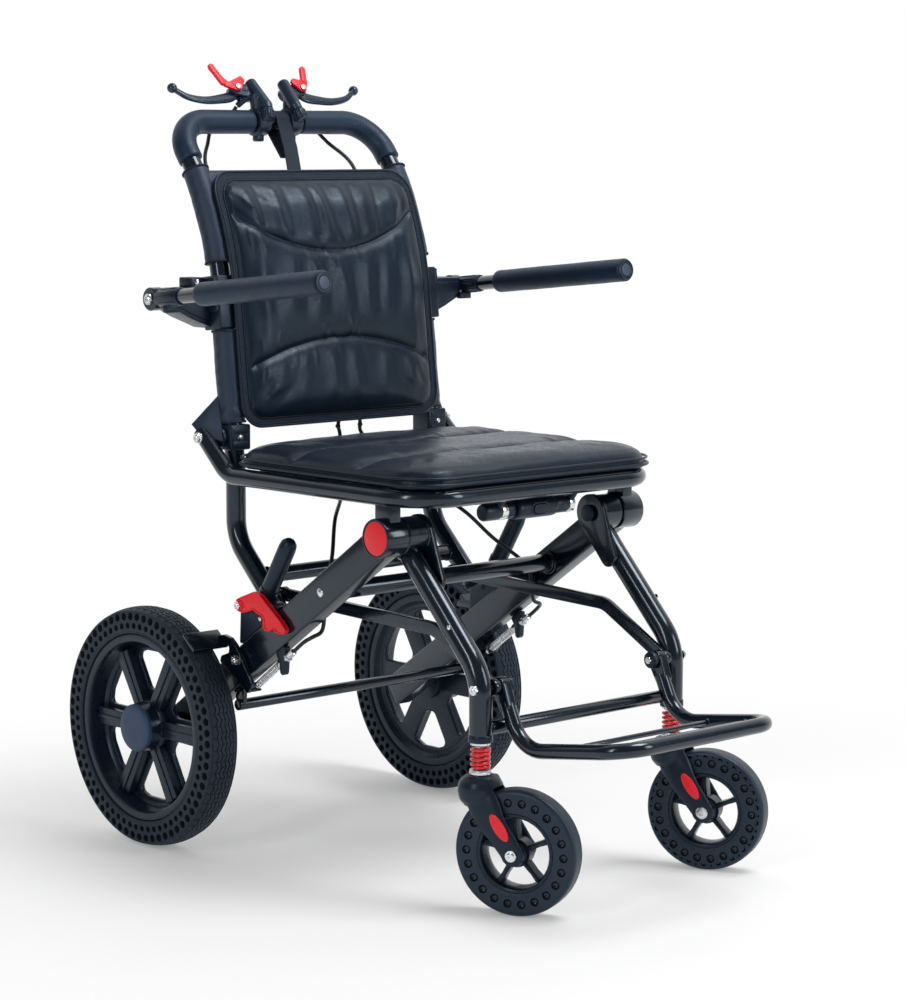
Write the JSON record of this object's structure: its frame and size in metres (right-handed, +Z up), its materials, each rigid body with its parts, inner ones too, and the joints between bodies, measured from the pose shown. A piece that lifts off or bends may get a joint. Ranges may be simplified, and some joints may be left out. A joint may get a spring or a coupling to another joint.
{
  "type": "travel wheelchair",
  "caption": "Folding travel wheelchair with padded seat and backrest, flip-up armrests, attendant brake levers, flip-up footrest, sprung front casters and spoked rear wheels.",
  "frame": {"origin": "floor level, at the middle of the overall width and length", "axes": "+Z up, -Y is the way the chair faces, -X is the user's right"},
  "size_m": [0.546, 0.8814, 0.9878],
  "materials": {
    "black_paint": "gloss black powder coat",
    "black_plastic": "satin moulded",
    "wheel_rubber": "matte solid rubber",
    "foam_grip": "matte foam",
    "cable_cover": "smooth cable cover",
    "navy_leather": "soft grained synthetic leather",
    "black_fabric": "woven",
    "red_plastic": "satin moulded red",
    "red_spring": "gloss red",
    "bright_steel": "bright"
  },
  "bodies": {
    "chassis": {"side_beam_right": "black_paint", "side_beam_left": "black_paint", "mid_cross_tube": "black_paint", "rear_cross_tube": "black_paint", "seat_frame": "black_paint", "seat_sling": "black_fabric", "seat_cushion": "navy_leather", "release_handle": "bright_steel", "release_housing": "black_plastic", "latch_bracket_right": "black_plastic", "latch_bracket_left": "black_plastic", "brake_bracket_right": "black_paint", "brake_bracket_left": "black_paint", "brake_spring_right": "bright_steel", "brake_spring_left": "bright_steel", "brake_cable_lower_right": "cable_cover", "brake_cable_lower_left": "cable_cover"},
    "backrest": {"backrest_frame": "black_paint", "back_cross_tube": "black_paint", "back_upholstery": "black_fabric", "back_cushion": "navy_leather", "handlebar_foam_right": "foam_grip", "handlebar_foam_left": "foam_grip", "armrest_bracket_right": "black_plastic", "armrest_bracket_left": "black_plastic", "back_hinge_right": "black_plastic", "back_hinge_left": "black_plastic", "brake_perch_right": "black_paint", "brake_perch_left": "black_paint", "brake_cable_upper_right": "cable_cover", "brake_cable_upper_left": "cable_cover"},
    "front_legs": {"front_leg_frame": "black_paint", "caster_spring_right": "red_spring", "caster_spring_left": "red_spring"},
    "fold_links": {"fold_link_right": "black_paint", "fold_link_left": "black_paint"},
    "footrest": {"footrest": "black_paint"},
    "release_button": {"release_button": "black_plastic"},
    "rear_wheel_right": {"rear_tyre_right": "wheel_rubber", "rear_rim_right": "black_plastic"},
    "caster_stem_right": {"caster_stem_right": "bright_steel"},
    "caster_fork_right": {"caster_fork_right": "black_plastic"},
    "caster_wheel_right": {"caster_wheel_right": "wheel_rubber"},
    "armrest_right": {"armrest_tube_right": "black_paint", "armrest_foam_right": "foam_grip"},
    "brake_lever_right": {"brake_lever_right": "black_paint"},
    "parking_toggle_right": {"parking_toggle_right": "red_plastic"},
    "brake_arm_right": {"brake_arm_right": "black_paint"},
    "latch_hook_right": {"latch_hook_right": "red_plastic"},
    "rear_wheel_left": {"rear_tyre_left": "wheel_rubber", "rear_rim_left": "black_plastic"},
    "caster_stem_left": {"caster_stem_left": "bright_steel"},
    "caster_fork_left": {"caster_fork_left": "black_plastic"},
    "caster_wheel_left": {"caster_wheel_left": "wheel_rubber"},
    "armrest_left": {"armrest_tube_left": "black_paint", "armrest_foam_left": "foam_grip"},
    "brake_lever_left": {"brake_lever_left": "black_paint"},
    "parking_toggle_left": {"parking_toggle_left": "red_plastic"},
    "brake_arm_left": {"brake_arm_left": "black_paint"},
    "latch_hook_left": {"latch_hook_left": "red_plastic"}
  },
  "joints": [
    {"name": "backrest_fold", "type": "hinge", "parent": "chassis", "child": "backrest", "pos_m": [0, 0.23225, 0.521], "axis": [1, 0, 0], "range_deg": [0, 40]},
    {"name": "front_leg_fold", "type": "hinge", "parent": "chassis", "child": "front_legs", "pos_m": [0, -0.10775, 0.429], "axis": [1, 0, 0], "range_deg": [0, 43.6]},
    {"name": "fold_link_turn", "type": "hinge", "parent": "front_legs", "child": "fold_links", "pos_m": [0, -0.23475, 0.262], "axis": [1, 0, 0], "range_deg": [-39.2, 0]},
    {"name": "footrest_flip", "type": "hinge", "parent": "front_legs", "child": "footrest", "pos_m": [0, -0.23475, 0.262], "axis": [1, 0, 0], "range_deg": [-85, 0]},
    {"name": "release_press", "type": "slide", "parent": "chassis", "child": "release_button", "axis": [0, 1, 0], "range_m": [0, 0.003], "stiffness_N_per_m": 500, "springref_m": -0.002},
    {"name": "rear_wheel_spin_right", "type": "hinge", "parent": "chassis", "child": "rear_wheel_right", "pos_m": [-0.245, 0.28825, 0.1525], "axis": [1, 0, 0], "continuous": true},
    {"name": "caster_suspension_right", "type": "slide", "parent": "front_legs", "child": "caster_stem_right", "axis": [0, 0, 1], "range_m": [0, 0.005], "stiffness_N_per_m": 15000, "springref_m": -0.005, "deforming": ["caster_spring_right"]},
    {"name": "caster_swivel_right", "type": "hinge", "parent": "caster_stem_right", "child": "caster_fork_right", "pos_m": [-0.162, -0.23175, 0.1617], "axis": [0, 0, 1], "continuous": true},
    {"name": "caster_spin_right", "type": "hinge", "parent": "caster_fork_right", "child": "caster_wheel_right", "pos_m": [-0.14155, -0.27518, 0.0745], "axis": [0.9048, 0.4259, 0], "continuous": true},
    {"name": "armrest_flip_right", "type": "hinge", "parent": "backrest", "child": "armrest_right", "pos_m": [-0.252, 0.26325, 0.6945], "axis": [1, 0, 0], "range_deg": [-95, 0]},
    {"name": "brake_squeeze_right", "type": "hinge", "parent": "backrest", "child": "brake_lever_right", "pos_m": [-0.0545, 0.35125, 0.952], "axis": [0, -0.853, 0.522], "range_deg": [0, 8], "stiffness_Nm_per_rad": 2, "springref_deg": -5.73},
    {"name": "parking_lock_right", "type": "hinge", "parent": "backrest", "child": "parking_toggle_right", "pos_m": [-0.0545, 0.35125, 0.952], "axis": [0, -0.853, 0.522], "range_deg": [0, 25]},
    {"name": "brake_shoe_right", "type": "hinge", "parent": "chassis", "child": "brake_arm_right", "pos_m": [-0.2095, 0.15725, 0.25], "axis": [1, 0, 0], "range_deg": [-1.85, 0]},
    {"name": "hook_lift_right", "type": "hinge", "parent": "chassis", "child": "latch_hook_right", "pos_m": [-0.2105, 0.14865, 0.32], "axis": [1, 0, 0], "range_deg": [-35, 0]},
    {"name": "rear_wheel_spin_left", "type": "hinge", "parent": "chassis", "child": "rear_wheel_left", "pos_m": [0.245, 0.28825, 0.1525], "axis": [1, 0, 0], "continuous": true},
    {"name": "caster_suspension_left", "type": "slide", "parent": "front_legs", "child": "caster_stem_left", "axis": [0, 0, 1], "range_m": [0, 0.005], "stiffness_N_per_m": 15000, "springref_m": -0.005, "deforming": ["caster_spring_left"]},
    {"name": "caster_swivel_left", "type": "hinge", "parent": "caster_stem_left", "child": "caster_fork_left", "pos_m": [0.162, -0.23175, 0.1617], "axis": [0, 0, 1], "continuous": true},
    {"name": "caster_spin_left", "type": "hinge", "parent": "caster_fork_left", "child": "caster_wheel_left", "pos_m": [0.18244, -0.27518, 0.0745], "axis": [0.9048, 0.4259, 0], "continuous": true},
    {"name": "armrest_flip_left", "type": "hinge", "parent": "backrest", "child": "armrest_left", "pos_m": [0.252, 0.26325, 0.6945], "axis": [1, 0, 0], "range_deg": [-95, 0]},
    {"name": "brake_squeeze_left", "type": "hinge", "parent": "backrest", "child": "brake_lever_left", "pos_m": [0.0545, 0.35125, 0.952], "axis": [0, 0.853, -0.522], "range_deg": [0, 8], "stiffness_Nm_per_rad": 2, "springref_deg": -5.73},
    {"name": "parking_lock_left", "type": "hinge", "parent": "backrest", "child": "parking_toggle_left", "pos_m": [0.0545, 0.35125, 0.952], "axis": [0, 0.853, -0.522], "range_deg": [0, 25]},
    {"name": "brake_shoe_left", "type": "hinge", "parent": "chassis", "child": "brake_arm_left", "pos_m": [0.2095, 0.15725, 0.25], "axis": [1, 0, 0], "range_deg": [-1.85, 0]},
    {"name": "hook_lift_left", "type": "hinge", "parent": "chassis", "child": "latch_hook_left", "pos_m": [0.2105, 0.14865, 0.32], "axis": [1, 0, 0], "range_deg": [-35, 0]}
  ],
  "couplings": [
    {"joint": "front_leg_fold", "follows": "backrest_fold", "ratio": 1.08},
    {"joint": "fold_link_turn", "follows": "backrest_fold", "ratio": -0.97},
    {"joint": "brake_shoe_right", "follows": "brake_squeeze_right", "ratio": -0.225},
    {"joint": "brake_shoe_left", "follows": "brake_squeeze_left", "ratio": -0.225}
  ]
}
